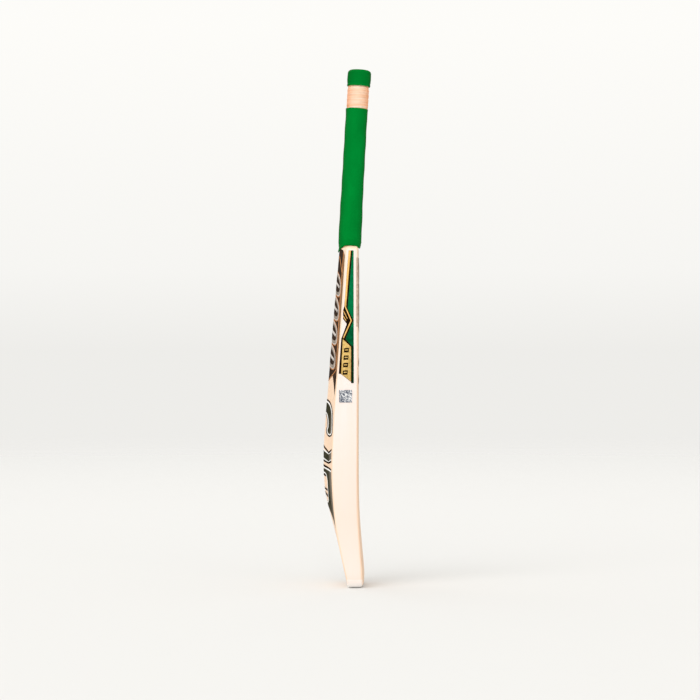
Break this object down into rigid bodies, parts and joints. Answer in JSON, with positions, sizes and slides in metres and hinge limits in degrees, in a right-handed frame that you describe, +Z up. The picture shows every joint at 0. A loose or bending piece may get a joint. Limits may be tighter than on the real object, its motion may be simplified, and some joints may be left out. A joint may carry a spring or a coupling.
{
  "type": "cricket bat",
  "caption": "Cricket bat for striking a ball: flat-faced willow blade with a ridged back, spliced and bound cane handle, green rubber grip and printed film labels.",
  "frame": {"origin": "middle of the toe's flat underside, where the upright bat touches the ground", "axes": "+Z up the blade towards the handle, +X across the blade's width, -Y the way the playing face looks and +Y towards the spine on the back"},
  "size_m": [0.1092, 0.0793, 0.8581],
  "materials": {
    "willow": "bare pressed willow, lightly oiled",
    "cane": "sanded cane strips",
    "insert_rubber": "matt rubber sheet",
    "twine": "waxed linen thread, wound",
    "grip_rubber": "satin green moulded rubber",
    "toe_rubber": "satin pale cream sheet",
    "back_label": "printed vinyl film",
    "edge_label": "printed vinyl film",
    "face_label": "printed vinyl film",
    "hologram_foil": "metallised diffraction film"
  },
  "bodies": {
    "root": {"blade": "willow", "cane_outer_left_face": "cane", "cane_outer_left_core": "cane", "cane_outer_left_spine": "cane", "cane_inner_left_face": "cane", "cane_inner_left_core": "cane", "cane_inner_left_spine": "cane", "cane_inner_right_face": "cane", "cane_inner_right_core": "cane", "cane_inner_right_spine": "cane", "cane_outer_right_face": "cane", "cane_outer_right_core": "cane", "cane_outer_right_spine": "cane", "insert_left": "insert_rubber", "insert_middle": "insert_rubber", "insert_right": "insert_rubber", "twine_binding": "twine", "grip_sleeve": "grip_rubber", "grip_top_band": "grip_rubber", "toe_guard": "toe_rubber", "back_label_upper": "back_label", "back_emblem": "back_label", "back_label_lower": "back_label", "edge_label_left": "edge_label", "edge_label_right": "edge_label", "face_label": "face_label", "hologram_label": "hologram_foil"}
  },
  "joints": []
}
